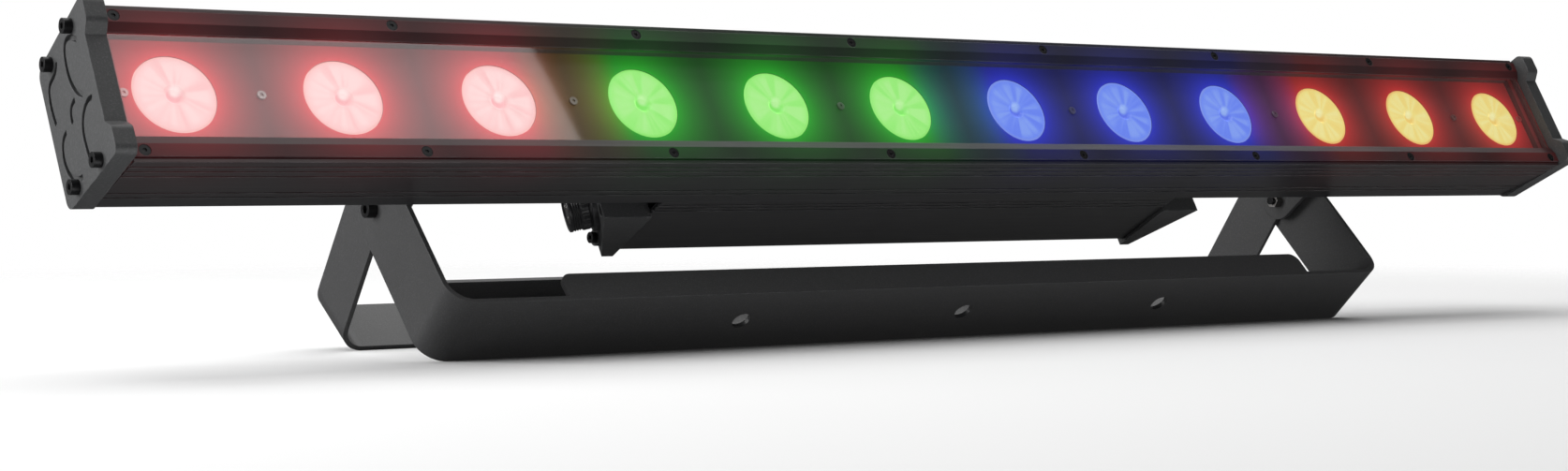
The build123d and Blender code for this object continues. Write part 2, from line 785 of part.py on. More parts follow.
def yoke(side, angle, width, reach, inner, outer, top, holes):
    """U of flat strip hung from the pivot: side is 1 for the front yoke and -1 for the rear one."""
    down = Vector(0, -side * sin(angle), -cos(angle))
    across = Vector(0, -side * cos(angle), sin(angle))
    with BuildPart() as piece:
        low_z, high_z = (-inner, outer) if side > 0 else (-outer, inner)
        bend_plane = Plane(origin=pivot, x_dir=(1, 0, 0), z_dir=across * side)
        crown = max(top, ear_r) + 1
        for wide, low, radius, mode in (
            (width, -reach, bend_r, Mode.ADD),
            (width - 2 * strip, strip - reach, bend_r - strip, Mode.SUBTRACT),
        ):
            with BuildSketch(bend_plane.offset(low_z)):
                with Locations((0, (crown + low) / 2)):
                    Rectangle(wide, crown - low)
                fillet(vertices().sort_by(Axis.Y)[:2], radius=radius)
            extrude(amount=high_z - low_z, mode=mode)
        with BuildSketch(Plane(origin=pivot, x_dir=across, z_dir=(-side, 0, 0))):
            with Locations(((outer - inner) / 2, (top - reach) / 2)):
                Rectangle(outer + inner, top + reach)
            fillet(vertices().sort_by(Axis.Y)[-2:], radius=top_round)
            Circle(ear_r)
            Circle(pivot_r + pivot_clearance, mode=Mode.SUBTRACT)
        extrude(amount=width / 2, both=True, mode=Mode.INTERSECT)
        edge = outer - strip if side > 0 else -outer
        with BuildSketch(bend_plane.offset(edge)):
            with Locations((0, flange_high / 2 - reach)):
                Rectangle(flange_length, flange_high)
            fillet(vertices().sort_by(Axis.Y)[-2:], radius=flange_round)
        extrude(amount=strip)
        if holes:
            base = Plane(origin=pivot + down * reach, x_dir=(1, 0, 0), z_dir=down)
            steps = [(i - (hole_count - 1) / 2) * hole_pitch for i in range(hole_count)]
            rods(base, [(x, (outer - inner) / 2) for x in steps], hole_r, strip, Mode.SUBTRACT)
    return piece


rear_width = 2 * rear_arm_out
save(yoke(1, front_a, yoke_width, front_reach, front_inner, front_outer, front_top, True), "front_yoke")
save(yoke(-1, rear_a, rear_width, rear_reach, rear_inner, rear_outer, rear_top, False), "rear_yoke")


def pivot_plane(x, side):
    """Plane on the pivot axis at x that faces away from the middle."""
    return Plane(origin=pivot + Vector(side * x, 0, 0), x_dir=(0, 1, 0), z_dir=(side, 0, 0))


with BuildPart() as pivot_bolts:
    bolt_long = pivot_bolt_x - bracket_in + nut_high + 2
    for side in (-1, 1):
        head = pivot_plane(pivot_bolt_x + fit, side)
        screws(head, [(0, 0)], pivot_r, pivot_head_r, pivot_head_high, bolt_long, pivot_socket)
save(pivot_bolts, "pivot_bolts")

with BuildPart() as pivot_nuts:
    for side in (-1, 1):
        with BuildSketch(pivot_plane(bracket_in, side)):
            RegularPolygon(nut_across / 2, 6, major_radius=False)
            Circle(pivot_r + fit, mode=Mode.SUBTRACT)
        extrude(amount=-nut_high)
save(pivot_nuts, "pivot_nuts")

with BuildPart() as pivot_washers:
    for side in (-1, 1):
        for x in (rear_arm_out + washer_thick, rear_arm_in):
            with BuildSketch(pivot_plane(x, side)):
                Circle(washer_r)
                Circle(pivot_r + fit, mode=Mode.SUBTRACT)
            extrude(amount=-washer_thick)
save(pivot_washers, "pivot_washers")
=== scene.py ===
import json
from math import cos, pi, radians, sin

import bmesh
import bpy
from mathutils import Matrix, Vector


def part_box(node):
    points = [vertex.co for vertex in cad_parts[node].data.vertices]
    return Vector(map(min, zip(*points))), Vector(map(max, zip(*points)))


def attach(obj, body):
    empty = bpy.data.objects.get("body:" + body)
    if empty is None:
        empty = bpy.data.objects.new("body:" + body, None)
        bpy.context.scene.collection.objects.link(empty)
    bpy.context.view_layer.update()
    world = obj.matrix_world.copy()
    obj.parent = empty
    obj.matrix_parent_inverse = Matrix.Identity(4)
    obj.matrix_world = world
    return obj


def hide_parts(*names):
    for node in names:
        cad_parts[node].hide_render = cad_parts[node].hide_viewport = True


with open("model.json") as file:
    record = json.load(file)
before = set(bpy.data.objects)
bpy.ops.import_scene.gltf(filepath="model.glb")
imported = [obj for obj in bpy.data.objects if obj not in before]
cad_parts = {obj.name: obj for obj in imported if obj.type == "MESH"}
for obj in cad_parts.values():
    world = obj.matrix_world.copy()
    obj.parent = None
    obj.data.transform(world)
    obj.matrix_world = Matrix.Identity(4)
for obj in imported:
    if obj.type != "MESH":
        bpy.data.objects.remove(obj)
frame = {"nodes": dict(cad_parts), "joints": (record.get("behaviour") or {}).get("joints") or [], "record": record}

scene = bpy.context.scene
nodes = frame["nodes"]
record = frame["record"]
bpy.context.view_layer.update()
mounts = {mount["name"]: mount for mount in record["mounts"]}
print("frame loaded with", len(nodes), "parts")

# The bar's own directions: along it is X, outward is the way it shines, upward is up its face
outward = Vector(frame["joints"][2]["axis"]).normalized()
upward = Vector((0, outward.z, -outward.y))
plateLow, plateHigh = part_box("lens_plate")
plateThick = 0.002
faceMiddle = (plateLow + plateHigh) / 2 + outward * plateThick / 2
lensNames = ["lens_%02d" % number for number in range(1, 13)]
lensXs = [sum(corner.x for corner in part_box(name)) / 2 for name in lensNames]
lensPitch = (lensXs[-1] - lensXs[0]) / (len(lensXs) - 1)
lensRadius = 0.0198
zoneSize = 3


def barMatrix(origin, forward=outward, across=Vector((1, 0, 0))):
    # local Z runs forward and local X runs across
    side = forward.cross(across).normalized()
    turned = Matrix((side.cross(forward), side, forward)).transposed()
    return Matrix.Translation(origin) @ turned.to_4x4()


class Value:
    # a shader socket that can be used in plain arithmetic
    def __init__(self, finish, socket):
        self.finish = finish
        self.socket = socket

    def maths(self, operation, *values):
        return self.finish.node("ShaderNodeMath", {"operation": operation}, dict(enumerate(values)))

    def __add__(self, other):
        return self.maths("ADD", self, other)

    def __sub__(self, other):
        return self.maths("SUBTRACT", self, other)

    def __rsub__(self, other):
        return self.maths("SUBTRACT", other, self)

    def __mul__(self, other):
        return self.maths("MULTIPLY", self, other)

    def __truediv__(self, other):
        return self.maths("DIVIDE", self, other)

    def __pow__(self, other):
        return self.maths("POWER", self, other)

    __radd__ = __add__
    __rmul__ = __mul__

    def most(self, limit):
        return self.maths("MINIMUM", self, limit)

    def least(self, limit):
        return self.maths("MAXIMUM", self, limit)

    def rounded(self):
        return self.maths("ROUND", self)

    def exponent(self):
        return self.maths("EXPONENT", self)

    def rise(self, low, high):
        # 0 below low, 1 above high and smooth between; low may be the larger
        ends = {"Value": self, "From Min": low, "From Max": high}
        return self.finish.node("ShaderNodeMapRange", {"interpolation_type": "SMOOTHSTEP"}, ends)


class Finish:
    # one material and the nodes in it
    def __init__(self, name):
        self.material = bpy.data.materials.new(name)
        self.material.use_nodes = True
        self.tree = self.material.node_tree
        self.tree.nodes.clear()

    def node(self, kind, settings=None, sockets=None, out=0):
        made = self.tree.nodes.new(kind)
        for name, value in (settings or {}).items():
            if name == "stops":
                ramp = made.color_ramp
                while len(ramp.elements) < len(value):
                    ramp.elements.new(0.5)
                for element, (place, colour) in zip(ramp.elements, value):
                    element.position = place
                    element.color = (*colour, 1)
            else:
                setattr(made, name, value)
        for name, value in (sockets or {}).items():
            if isinstance(value, Value):
                self.tree.links.new(value.socket, made.inputs[name])
            else:
                made.inputs[name].default_value = value
        return Value(self, made.outputs[out])

    def place(self):
        return self.node("ShaderNodeTexCoord", out="Object")

    def vector(self, operation, *values, out=0):
        sockets = dict(enumerate(values))
        return self.node("ShaderNodeVectorMath", {"operation": operation}, sockets, out)

    def along(self, where, direction):
        return self.vector("DOT_PRODUCT", where, tuple(direction), out="Value")

    def scaled(self, colour, amount):
        return self.node("ShaderNodeVectorMath", {"operation": "SCALE"}, {0: colour, "Scale": amount})

    def mix(self, factor, first, second):
        first, second = [c if isinstance(c, Value) else (*c, 1) for c in (first, second)]
        return self.node("ShaderNodeMix", {"data_type": "RGBA"}, {0: factor, 6: first, 7: second}, 2)

    def grain(self, size, detail=2.0, stretch=(1, 1, 1), where=None):
        # noise with features about size metres across, 0 to 1
        spot = self.vector("MULTIPLY", where or self.place(), stretch)
        sockets = {"Vector": spot, "Scale": 1 / size, "Detail": detail}
        return self.node("ShaderNodeTexNoise", None, sockets)

    def edges(self, radius):
        # 1 on sharp outer and inner edges, fading over the radius
        rounded = self.node("ShaderNodeBevel", {"samples": 4}, {"Radius": radius})
        flat = self.node("ShaderNodeNewGeometry", out="Normal")
        same = self.vector("DOT_PRODUCT", rounded, flat, out="Value")
        return same.rise(0.995, 0.8)

    def bump(self, height, distance, strength=1.0, radius=None):
        sockets = {"Strength": strength, "Distance": distance, "Height": height}
        if radius:
            sockets["Normal"] = self.node("ShaderNodeBevel", {"samples": 4}, {"Radius": radius})
        return self.node("ShaderNodeBump", None, sockets)

    def output(self, shader):
        end = self.tree.nodes.new("ShaderNodeOutputMaterial")
        self.tree.links.new(shader.socket, end.inputs["Surface"])
        return self.material

    def surface(self, **sockets):
        names = {name.replace("_", " "): value for name, value in sockets.items()}
        return self.output(self.node("ShaderNodeBsdfPrincipled", None, names))


finishes = {}

# Painted light: emission that paints the light the lenses throw on the plate, the bezel and the front of the
# housing
paintedSpillLook = {
    "zones": [(0.85, 0.040, 0.055), (0.010, 0.42, 0.010), (0.015, 0.025, 0.62), (0.62, 0.022, 0.020)],
    "near": 0.55,
    "nearReach": 0.009,
    "far": 0.30,
    "farReach": 0.026,
    "blend": 0.06,
    "behind": -0.045,
    "side": 0.4,
    "facing": (0.9, 1.0),
}


def paintedSpillColour(finish, share):
    look = paintedSpillLook
    where = finish.place()
    turn = (finish.along(where, (1, 0, 0)) - lensXs[0]) / lensPitch
    nearest = turn.rounded().most(len(lensXs) - 1).least(0)
    across = (turn - nearest) * lensPitch
    up = finish.along(where, upward) - faceMiddle.dot(upward)
    proud = finish.along(where, outward) - faceMiddle.dot(outward)
    away = (across * across + up * up + proud * proud) ** 0.5 - lensRadius
    near = (away / -look["nearReach"]).exponent() * look["near"]
    far = (away / -look["farReach"]).exponent() * look["far"]
    amount = (near + far).most(1.0) * proud.rise(look["behind"], 0.0)
    facing = finish.along(finish.node("ShaderNodeNewGeometry", out="Normal"), outward)
    amount = amount * (facing.rise(*look["facing"]) * (1 - look["side"]) + look["side"])
    zoneCount = len(look["zones"])
    half = look["blend"] / 2
    stops = []
    for zone, colour in enumerate(look["zones"]):
        start = zone / zoneCount + (half if zone else 0)
        stops += [(start, colour), ((zone + 1) / zoneCount - half, colour)]
    colours = finish.node("ShaderNodeValToRGB", {"stops": stops}, {0: (turn + 0.5) / len(lensXs)})
    return finish.scaled(colours, amount * share)


def paintedSpillSockets(finish, share):
    # emission sockets that paint the lenses' light onto a surface that is no lamp
    return {"Emission_Color": paintedSpillColour(finish, share), "Emission_Strength": 1.0} if share else {}


# Extruded aluminium, anodised black: die lines along X, a faint mottle, worn edges lightened further as a painted
# edge highlight, and painted lens light
anodised = {
    "colour": (0.010, 0.010, 0.011),
    "mottle": (0.018, 0.018, 0.019),
    "worn": (0.075, 0.075, 0.078),
    "roughness": 0.36,
    "mottleRough": 0.12,
    "lineRough": 0.16,
    "dieLine": 0.0006,
    "mottleSize": 0.03,
    "scuffSize": 0.004,
    "scuffed": (0.35, 0.7),
    "lineDepth": 0.00004,
    "edge": 0.0006,
    "sheen": 0.5,
    "glow": 0.11,
}
# the bezel: darker and rougher, with more painted lens light than the housing
bezelLook = dict(anodised, colour=(0.006, 0.006, 0.007), roughness=0.46, dieLine=0.0009, sheen=0.3, glow=0.36)


def anodisedFinish(name, look):
    finish = Finish(name)
    lines = finish.grain(look["dieLine"], 2.0, (0.012, 1, 1))
    mottle = finish.grain(look["mottleSize"], 3.0)
    scuffs = finish.grain(look["scuffSize"], 4.0, (0.25, 1, 1))
    # edge wear and a painted edge highlight: edges lightened in the base colour where the scuffs fall
    wearAndHighlight = finish.edges(look["edge"]) * scuffs.rise(*look["scuffed"])
    colour = finish.mix(mottle, look["colour"], look["mottle"])
    colour = finish.mix(wearAndHighlight, colour, look["worn"])
    rough = look["roughness"] + (mottle - 0.5) * look["mottleRough"] + (lines - 0.5) * look["lineRough"]
    normal = finish.bump(lines, look["lineDepth"], 0.6, look["edge"])
    sockets = {"Base_Color": colour, "Roughness": rough, "Normal": normal}
    sockets["Specular_IOR_Level"] = look["sheen"]
    return finish.surface(**sockets, **paintedSpillSockets(finish, look["glow"]))


finishes["black_anodised"] = anodisedFinish("blackAnodised", anodised)
finishes["bezel_black"] = anodisedFinish("bezelBlack", bezelLook)

# Powder coat: orange peel, a fine speckle, and edges lightened as thin paint with a painted edge highlight
yokePaint = {
    "colour": (0.034, 0.034, 0.035),
    "speckle": (0.060, 0.060, 0.062),
    "worn": (0.085, 0.085, 0.088),
    "roughness": 0.42,
    "cloudRough": 0.15,
    "peelRough": 0.1,
    "cloudSize": 0.05,
    "wearAndHighlightSize": 0.006,
    "specks": (0.5, 0.75),
    "speckSize": 0.45,
    "peel": 0.0011,
    "peelDepth": 0.00006,
    "edge": 0.0006,
}
capLook = dict(yokePaint, colour=(0.030, 0.031, 0.032), speckle=(0.052, 0.052, 0.054), roughness=0.5)
capLook.update(peel=0.0016, peelDepth=0.00012, worn=(0.13, 0.13, 0.135))


def paintFinish(name, look):
    finish = Finish(name)
    peel = finish.grain(look["peel"], 2.0)
    speck = finish.grain(look["peel"] * look["speckSize"], 1.0)
    cloud = finish.grain(look["cloudSize"], 3.0)
    # edge wear and a painted edge highlight: edges lightened in the base colour
    wearAndHighlight = finish.edges(look["edge"]) * finish.grain(look["wearAndHighlightSize"], 4.0).rise(0.4, 0.7)
    colour = finish.mix(speck.rise(*look["specks"]), look["colour"], look["speckle"])
    colour = finish.mix(wearAndHighlight, colour, look["worn"])
    rough = look["roughness"] + (cloud - 0.5) * look["cloudRough"] + (peel - 0.5) * look["peelRough"]
    normal = finish.bump(peel + speck * 0.4, look["peelDepth"], 0.8, look["edge"])
    return finish.surface(Base_Color=colour, Roughness=rough, Normal=normal)


finishes["yoke_paint"] = paintFinish("yokePaint", yokePaint)
finishes["cap_paint"] = paintFinish("capPaint", capLook)

# Screws, nuts and standoffs: plated steel with a light machining grain, edge wear with a painted edge highlight,
# and painted lens light on the bright ones
blackScrew = {
    "colour": (0.012, 0.012, 0.013),
    "bright": (0.07, 0.07, 0.07),
    "metal": 0.6,
    "rough": 0.33,
    "stainRough": 0.25,
    "stainSize": 0.003,
    "turning": 0.0004,
    "turningDepth": 0.00002,
    "edge": 0.0003,
    "wearAndHighlight": 0.8,
    "glow": 0.0,
}
brightScrew = dict(blackScrew, colour=(0.30, 0.29, 0.28), bright=(0.48, 0.47, 0.46))
brightScrew.update(metal=1.0, rough=0.32, glow=0.5)


def screwFinish(name, look):
    finish = Finish(name)
    turned = finish.grain(look["turning"], 2.0)
    stain = finish.grain(look["stainSize"], 3.0)
    # edge wear and a painted edge highlight: lighter screw edges
    wearAndHighlight = finish.edges(look["edge"]) * look["wearAndHighlight"]
    colour = finish.mix(wearAndHighlight.most(1.0) * stain, look["colour"], look["bright"])
    rough = look["rough"] + (stain - 0.5) * look["stainRough"]
    sockets = {"Base_Color": colour, "Roughness": rough, "Metallic": look["metal"]}
    sockets["Normal"] = finish.bump(turned, look["turningDepth"], 0.6, look["edge"])
    return finish.surface(**sockets, **paintedSpillSockets(finish, look["glow"]))


finishes["screw_black"] = screwFinish("blackScrew", blackScrew)
finishes["screw_steel"] = screwFinish("brightScrew", brightScrew)

# Soft and moulded parts: a base colour, a second tone and a moulded grain, edge wear with a painted edge
# highlight, and painted lens light on the rubber
moulding = {
    "dustSize": 18,
    "dustRough": 0.2,
    "worn": (0.3, 0.7),
    "wearAndHighlight": 0.7,
    "edge": 0.0004,
    "depth": 0.00003,
}
moulded = {
    "seal_rubber": {
        "colour": (0.012, 0.012, 0.012),
        "tone": (0.028, 0.027, 0.026),
        "rough": 0.72,
        "grain": 0.0008,
        "glow": 0.5,
    },
    "connector_black": {
        "colour": (0.010, 0.010, 0.011),
        "tone": (0.022, 0.022, 0.024),
        "rough": 0.38,
        "grain": 0.0007,
    },
    "panel_black": {
        "colour": (0.012, 0.012, 0.014),
        "tone": (0.020, 0.020, 0.023),
        "rough": 0.30,
        "grain": 0.0012,
    },
    "button_grey": {
        "colour": (0.05, 0.05, 0.055),
        "tone": (0.085, 0.085, 0.09),
        "rough": 0.55,
        "grain": 0.0006,
    },
    "washer_nylon": {
        "colour": (0.015, 0.015, 0.016),
        "tone": (0.035, 0.035, 0.036),
        "rough": 0.5,
        "grain": 0.0009,
    },
    "board_white": {
        "colour": (0.62, 0.63, 0.60),
        "tone": (0.75, 0.75, 0.72),
        "rough": 0.45,
        "grain": 0.0030,
    },
    "board_green": {
        "colour": (0.010, 0.11, 0.035),
        "tone": (0.02, 0.17, 0.06),
        "rough": 0.35,
        "grain": 0.0035,
    },
}


def mouldedFinish(name, look):
    finish = Finish(name)
    grain = finish.grain(look["grain"], 2.0)
    dust = finish.grain(look["grain"] * moulding["dustSize"], 4.0)
    # edge wear and a painted edge highlight: edges lightened towards the second tone
    wearAndHighlight = finish.edges(moulding["edge"]) * dust.rise(*moulding["worn"]) * moulding["wearAndHighlight"]
    colour = finish.mix((dust * 0.7 + grain * 0.3 + wearAndHighlight).most(1.0), look["colour"], look["tone"])
    rough = look["rough"] + (dust - 0.5) * moulding["dustRough"]
    normal = finish.bump(grain, moulding["depth"], 0.7, moulding["edge"])
    glow = paintedSpillSockets(finish, look.get("glow"))
    return finish.surface(Base_Color=colour, Roughness=rough, Normal=normal, **glow)


for slot, look in moulded.items():
    finishes[slot] = mouldedFinish(slot, look)

# Aluminium of the power module: brushed sheet
module = {
    "colour": (0.50, 0.50, 0.49),
    "bright": (0.66, 0.66, 0.65),
    "rough": 0.3,
    "brushRough": 0.3,
    "brush": 0.0005,
    "depth": 0.00002,
}


def moduleFinish(look):
    finish = Finish("moduleMetal")
    brushed = finish.grain(look["brush"], 2.0, (0.03, 1, 1))
    colour = finish.mix(brushed, look["colour"], look["bright"])
    rough = look["rough"] + (brushed - 0.5) * look["brushRough"]
    normal = finish.bump(brushed, look["depth"], 0.5)
    return finish.surface(Base_Color=colour, Roughness=rough, Metallic=1.0, Normal=normal)


finishes["module_metal"] = moduleFinish(module)

# Clear front glass: reflections by angle, with faint dust
glass = {
    "tint": (0.97, 0.98, 0.98),
    "ior": 1.5,
    "bothFaces": 1.9,
    "roughness": 0.02,
    "hazeRough": 0.03,
    "hazeSize": 0.12,
    "dust": 0.012,
    "dustSize": 0.0025,
    "dusty": (0.52, 0.8),
}


def glassFinish(look):
    finish = Finish("clearGlass")
    dust = finish.grain(look["dustSize"], 5.0).rise(*look["dusty"]) * look["dust"]
    haze = finish.grain(look["hazeSize"], 3.0, (0.5, 1, 1))
    sheen = finish.node("ShaderNodeFresnel", None, {"IOR": look["ior"]})
    clear = finish.node("ShaderNodeBsdfTransparent", None, {"Color": (*look["tint"], 1)})
    rough = look["roughness"] + haze * look["hazeRough"]
    gloss = finish.node("ShaderNodeBsdfGlossy", None, {"Color": (1, 1, 1, 1), "Roughness": rough})
    inside = finish.node("ShaderNodeNewGeometry", out="Backfacing")
    factor = ((sheen * look["bothFaces"] + dust) * (1 - inside)).most(1.0)
    return finish.output(finish.node("ShaderNodeMixShader", None, {0: factor, 1: clear, 2: gloss}))


finishes["clear_glass"] = glassFinish(glass)

# Display behind a smoked window: a dark pane with a thin coat and fine scratches
display = {
    "colour": (0.006, 0.008, 0.011),
    "tone": (0.012, 0.016, 0.020),
    "rough": 0.12,
    "smearRough": 0.12,
    "smearSize": 0.012,
    "scratch": 0.0006,
    "scratchDepth": 0.00001,
    "coat": 0.6,
}


def displayFinish(look):
    finish = Finish("displayDark")
    smear = finish.grain(look["smearSize"], 4.0)
    scratch = finish.grain(look["scratch"], 1.0, (0.06, 1, 1))
    colour = finish.mix(smear, look["colour"], look["tone"])
    rough = look["rough"] + smear * look["smearRough"]
    normal = finish.bump(scratch, look["scratchDepth"], 0.3)
    return finish.surface(Base_Color=colour, Roughness=rough, Normal=normal, Coat_Weight=look["coat"])


finishes["display_dark"] = displayFinish(display)

# Lens plate: satin black sheet with painted lens light round the lens rims
plate = {
    "colour": (0.014, 0.014, 0.015),
    "tone": (0.020, 0.020, 0.021),
    "rough": 0.5,
    "cloudRough": 0.15,
    "cloudSize": 0.035,
    "grain": 0.0009,
    "depth": 0.00003,
    "glow": 1.0,
}


def plateFinish(look):
    finish = Finish("plateBlack")
    grain = finish.grain(look["grain"], 2.0)
    cloud = finish.grain(look["cloudSize"], 3.0)
    colour = finish.mix(cloud, look["colour"], look["tone"])
    rough = look["rough"] + (cloud - 0.5) * look["cloudRough"]
    normal = finish.bump(grain, look["depth"], 0.6)
    glow = paintedSpillSockets(finish, look["glow"])
    return finish.surface(Base_Color=colour, Roughness=rough, Normal=normal, **glow)


finishes["plate_black"] = plateFinish(plate)

# Lit lenses: a face colour, a deeper tone, a bright glint and a rim for each zone
lensZones = {
    "red": {
        "face": (0.96, 0.50, 0.50),
        "deep": (0.93, 0.34, 0.37),
        "glint": (1.0, 0.80, 0.78),
        "rim": (0.98, 0.48, 0.45),
    },
    "green": {
        "face": (0.37, 0.97, 0.22),
        "deep": (0.20, 0.86, 0.10),
        "glint": (0.60, 1.0, 0.42),
        "rim": (0.30, 0.92, 0.17),
    },
    "blue": {
        "face": (0.155, 0.26, 1.0),
        "deep": (0.09, 0.15, 0.88),
        "glint": (0.38, 0.56, 1.0),
        "rim": (0.25, 0.34, 0.88),
    },
    "amber": {
        "face": (1.0, 0.80, 0.24),
        "deep": (0.96, 0.60, 0.14),
        "glint": (1.0, 0.97, 0.50),
        "rim": (0.96, 0.45, 0.14),
    },
}
zoneNames = list(lensZones)
lensLook = {
    "fanSize": 0.42,
    "fanTwist": 0.12,
    "petals": 0.4,
    "shade": 0.18,
    "core": 0.75,
    "glintAt": (0.05, 0.13, 0.0),
    "glint": 0.8,
    "rim": 0.7,
    "speckSize": 0.0012,
    "rough": 0.16,
    "speckRough": 0.1,
    "depth": 0.0002,
    "strength": 0.93,
    "die": 0.0015,
    "dieStrength": 1.5,
}


def lensFinish(zone, look, seed):
    finish = Finish("lens" + zone.capitalize())
    where = finish.place()
    flat = finish.vector("MULTIPLY", where, (1 / lensRadius, 1 / lensRadius, 0))
    radius = finish.vector("LENGTH", flat, out="Value")
    heading = finish.vector("ADD", finish.vector("NORMALIZE", flat), (seed, seed * 0.7, 0))
    swirl = finish.vector("ADD", heading, finish.scaled(flat, lensLook["fanTwist"]))
    fans = finish.grain(lensLook["fanSize"], 1.0, where=swirl)
    petals = fans.rise(0.38, 0.62) * radius.rise(0.12, 0.4) * radius.rise(0.97, 0.75) * lensLook["petals"]
    offset = finish.vector("SUBTRACT", flat, lensLook["glintAt"])
    glint = finish.vector("LENGTH", offset, out="Value").rise(0.2, 0.06)
    core = radius.rise(0.26, 0.12)
    speck = finish.grain(lensLook["speckSize"], 2.0)
    colour = finish.mix((petals * 0.9 + speck * 0.1).most(1.0), look["face"], look["glint"])
    colour = finish.mix(fans.rise(0.5, 0.3) * lensLook["shade"] * radius.rise(0.3, 0.5), colour, look["deep"])
    colour = finish.mix(core * lensLook["core"], colour, look["deep"])
    colour = finish.mix(glint * lensLook["glint"], colour, look["glint"])
    colour = finish.mix(radius.rise(0.9, 0.99) * lensLook["rim"], colour, look["rim"])
    return finish.surface(
        Base_Color=finish.mix(0.9, colour, (0.02, 0.02, 0.02)),
        Roughness=lensLook["rough"] + speck * lensLook["speckRough"],
        Normal=finish.bump(fans, lensLook["depth"], 0.5),
        Emission_Color=colour,
        Emission_Strength=lensLook["strength"],
    )


def emitterFinish(zone, look):
    finish = Finish("emitter" + zone.capitalize())
    dice = finish.grain(lensLook["die"], 1.0).rise(0.4, 0.6)
    colour = finish.mix(dice, look["face"], look["glint"])
    return finish.surface(
        Base_Color=colour,
        Roughness=0.3 + dice * 0.2,
        Emission_Color=colour,
        Emission_Strength=lensLook["dieStrength"],
    )


for number, (zone, look) in enumerate(lensZones.items()):
    finishes["lens_" + zone] = lensFinish(zone, look, 1.7 + 0.9 * number)
    finishes["emitter_" + zone] = emitterFinish(zone, look)
print("finishes made:", len(finishes))


def dress(piece, slot):
    piece.data.materials.clear()
    piece.data.materials.append(finishes[slot])


for part in record["subparts"]:
    dress(nodes[part["node"]], part["material_slot"])


def lathe(work, profile, segments, shape=None):
    # turns (radius, height) points round local Z; shape may move each point
    rings = []
    for radius, height in profile:
        if radius == 0:
            rings.append([work.verts.new((0, 0, height))])
            continue
        ring = []
        for step in range(segments):
            angle = 2 * pi * step / segments
            r, h = shape(radius, height, angle) if shape else (radius, height)
            ring.append(work.verts.new((r * cos(angle), r * sin(angle), h)))
        rings.append(ring)
    for lower, upper in zip(rings, rings[1:]):
        for step in range(segments):
            after = (step + 1) % segments
            corners = [lower[step % len(lower)], lower[after % len(lower)]]
            corners += [upper[after % len(upper)], upper[step % len(upper)]]
            work.faces.new(list(dict.fromkeys(corners)))


def finishMesh(name, work, matrix, slot, body, sharp=35):
    bmesh.ops.recalc_face_normals(work, faces=work.faces)
    mesh = bpy.data.meshes.new(name)
    work.to_mesh(mesh)
    work.free()
    mesh.shade_smooth()
    mesh.set_sharp_from_angle(angle=radians(sharp))
    piece = bpy.data.objects.new(name, mesh)
    scene.collection.objects.link(piece)
    piece.matrix_world = matrix
    dress(piece, slot)
    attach(piece, body)
    return piece


# Lenses: dished fans round a small well, with a flange behind the plate and a cone to the LED
lensShape = {
    "wellDeep": 0.0022,
    "wellSlope": [(0.0042, -0.0009), (0.0052, -0.0002), (0.0062, -0.0001)],
    "faceFrom": 0.0062,
    "faceTo": 0.0178,
    "faceSteps": 8,
    "rim": [(0.0188, 0), (0.0194, -0.0001)],
    "rimDeep": 0.0004,
    "fans": 9,
    "fanMiddle": 0.012,
    "fanReach": 0.0062,
    "fanEnd": 0.0185,
    "fanDeep": 0.00018,
    "swirl": 55.0,
    "flangeRadius": 0.0208,
    "flangeThick": 0.0015,
    "coneTop": 0.0188,
    "footRadius": 0.008,
    "footDepth": 0.0204,
    "footWell": 0.005,
    "footWellDeep": 0.003,
    "segments": 108,
}


def lensPiece(number, name):
    look = lensShape
    edge = lensRadius
    well = -look["wellDeep"]
    front = [(0, well), (0.0016, well), (0.0034, well * 0.8)] + look["wellSlope"]
    inner, steps = look["faceFrom"], look["faceSteps"]
    front += [(inner + (look["faceTo"] - inner) * step / steps, 0) for step in range(1, steps + 1)]
    front += look["rim"] + [(edge, -look["rimDeep"])]
    flange = -plateThick
    back = [(edge, flange), (look["flangeRadius"], flange)]
    back += [(look["flangeRadius"], flange - look["flangeThick"])]
    back += [(look["coneTop"], flange - look["flangeThick"])]
    back += [(look["footRadius"], -look["footDepth"]), (look["footWell"], -look["footDepth"])]
    back += [(look["footWell"], look["footWellDeep"] - look["footDepth"])]
    back += [(0, look["footWellDeep"] - look["footDepth"])]

    def fan(radius, height, angle):
        ring = max(0.0, 1 - abs(radius - look["fanMiddle"]) / look["fanReach"])
        if height < -0.0001 or radius > look["fanEnd"]:
            return radius, height
        wave = abs(sin(look["fans"] * angle / 2 + look["swirl"] * radius))
        return radius, height - look["fanDeep"] * wave * ring

    work = bmesh.new()
    lathe(work, front + back, look["segments"], fan)
    origin = faceMiddle + Vector((lensXs[number] - faceMiddle.x, 0, 0))
    slot = "lens_" + zoneNames[number // zoneSize]
    piece = finishMesh(name + "_moulded", work, barMatrix(origin), slot, "head", 28)
    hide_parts(name)


for number, name in enumerate(lensNames):
    lensPiece(number, name)
print("lenses made:", len(lensNames))

# Panel connectors: flange, knurled ring, thread and an insert with contacts
connectorShape = {
    "power": {"radius": 0.0115, "knurls": 20, "contacts": 3, "contactRadius": 0.0014},
    "data": {"radius": 0.0080, "knurls": 16, "contacts": 4, "contactRadius": 0.0008},
    "long": 0.015,
    "flangeThick": 0.003,
    "flangeSide": 0.0022,
    "flangeOver": 0.0018,
    "flangeBevel": 0.0006,
    "neckIn": 0.0008,
    "knurled": (0.0042, 0.0078),
    "knurlBevel": 0.0006,
    "knurlDeep": 0.0004,
    "threads": 4,
    "threadFrom": 0.0090,
    "threadPitch": 0.0013,
    "threadRoot": 0.0010,
    "threadCrest": 0.0004,
    "wall": 0.0015,
    "mouth": 0.0035,
    "insert": 0.62,
    "insertTop": 0.0008,
    "contactRing": 0.34,
}


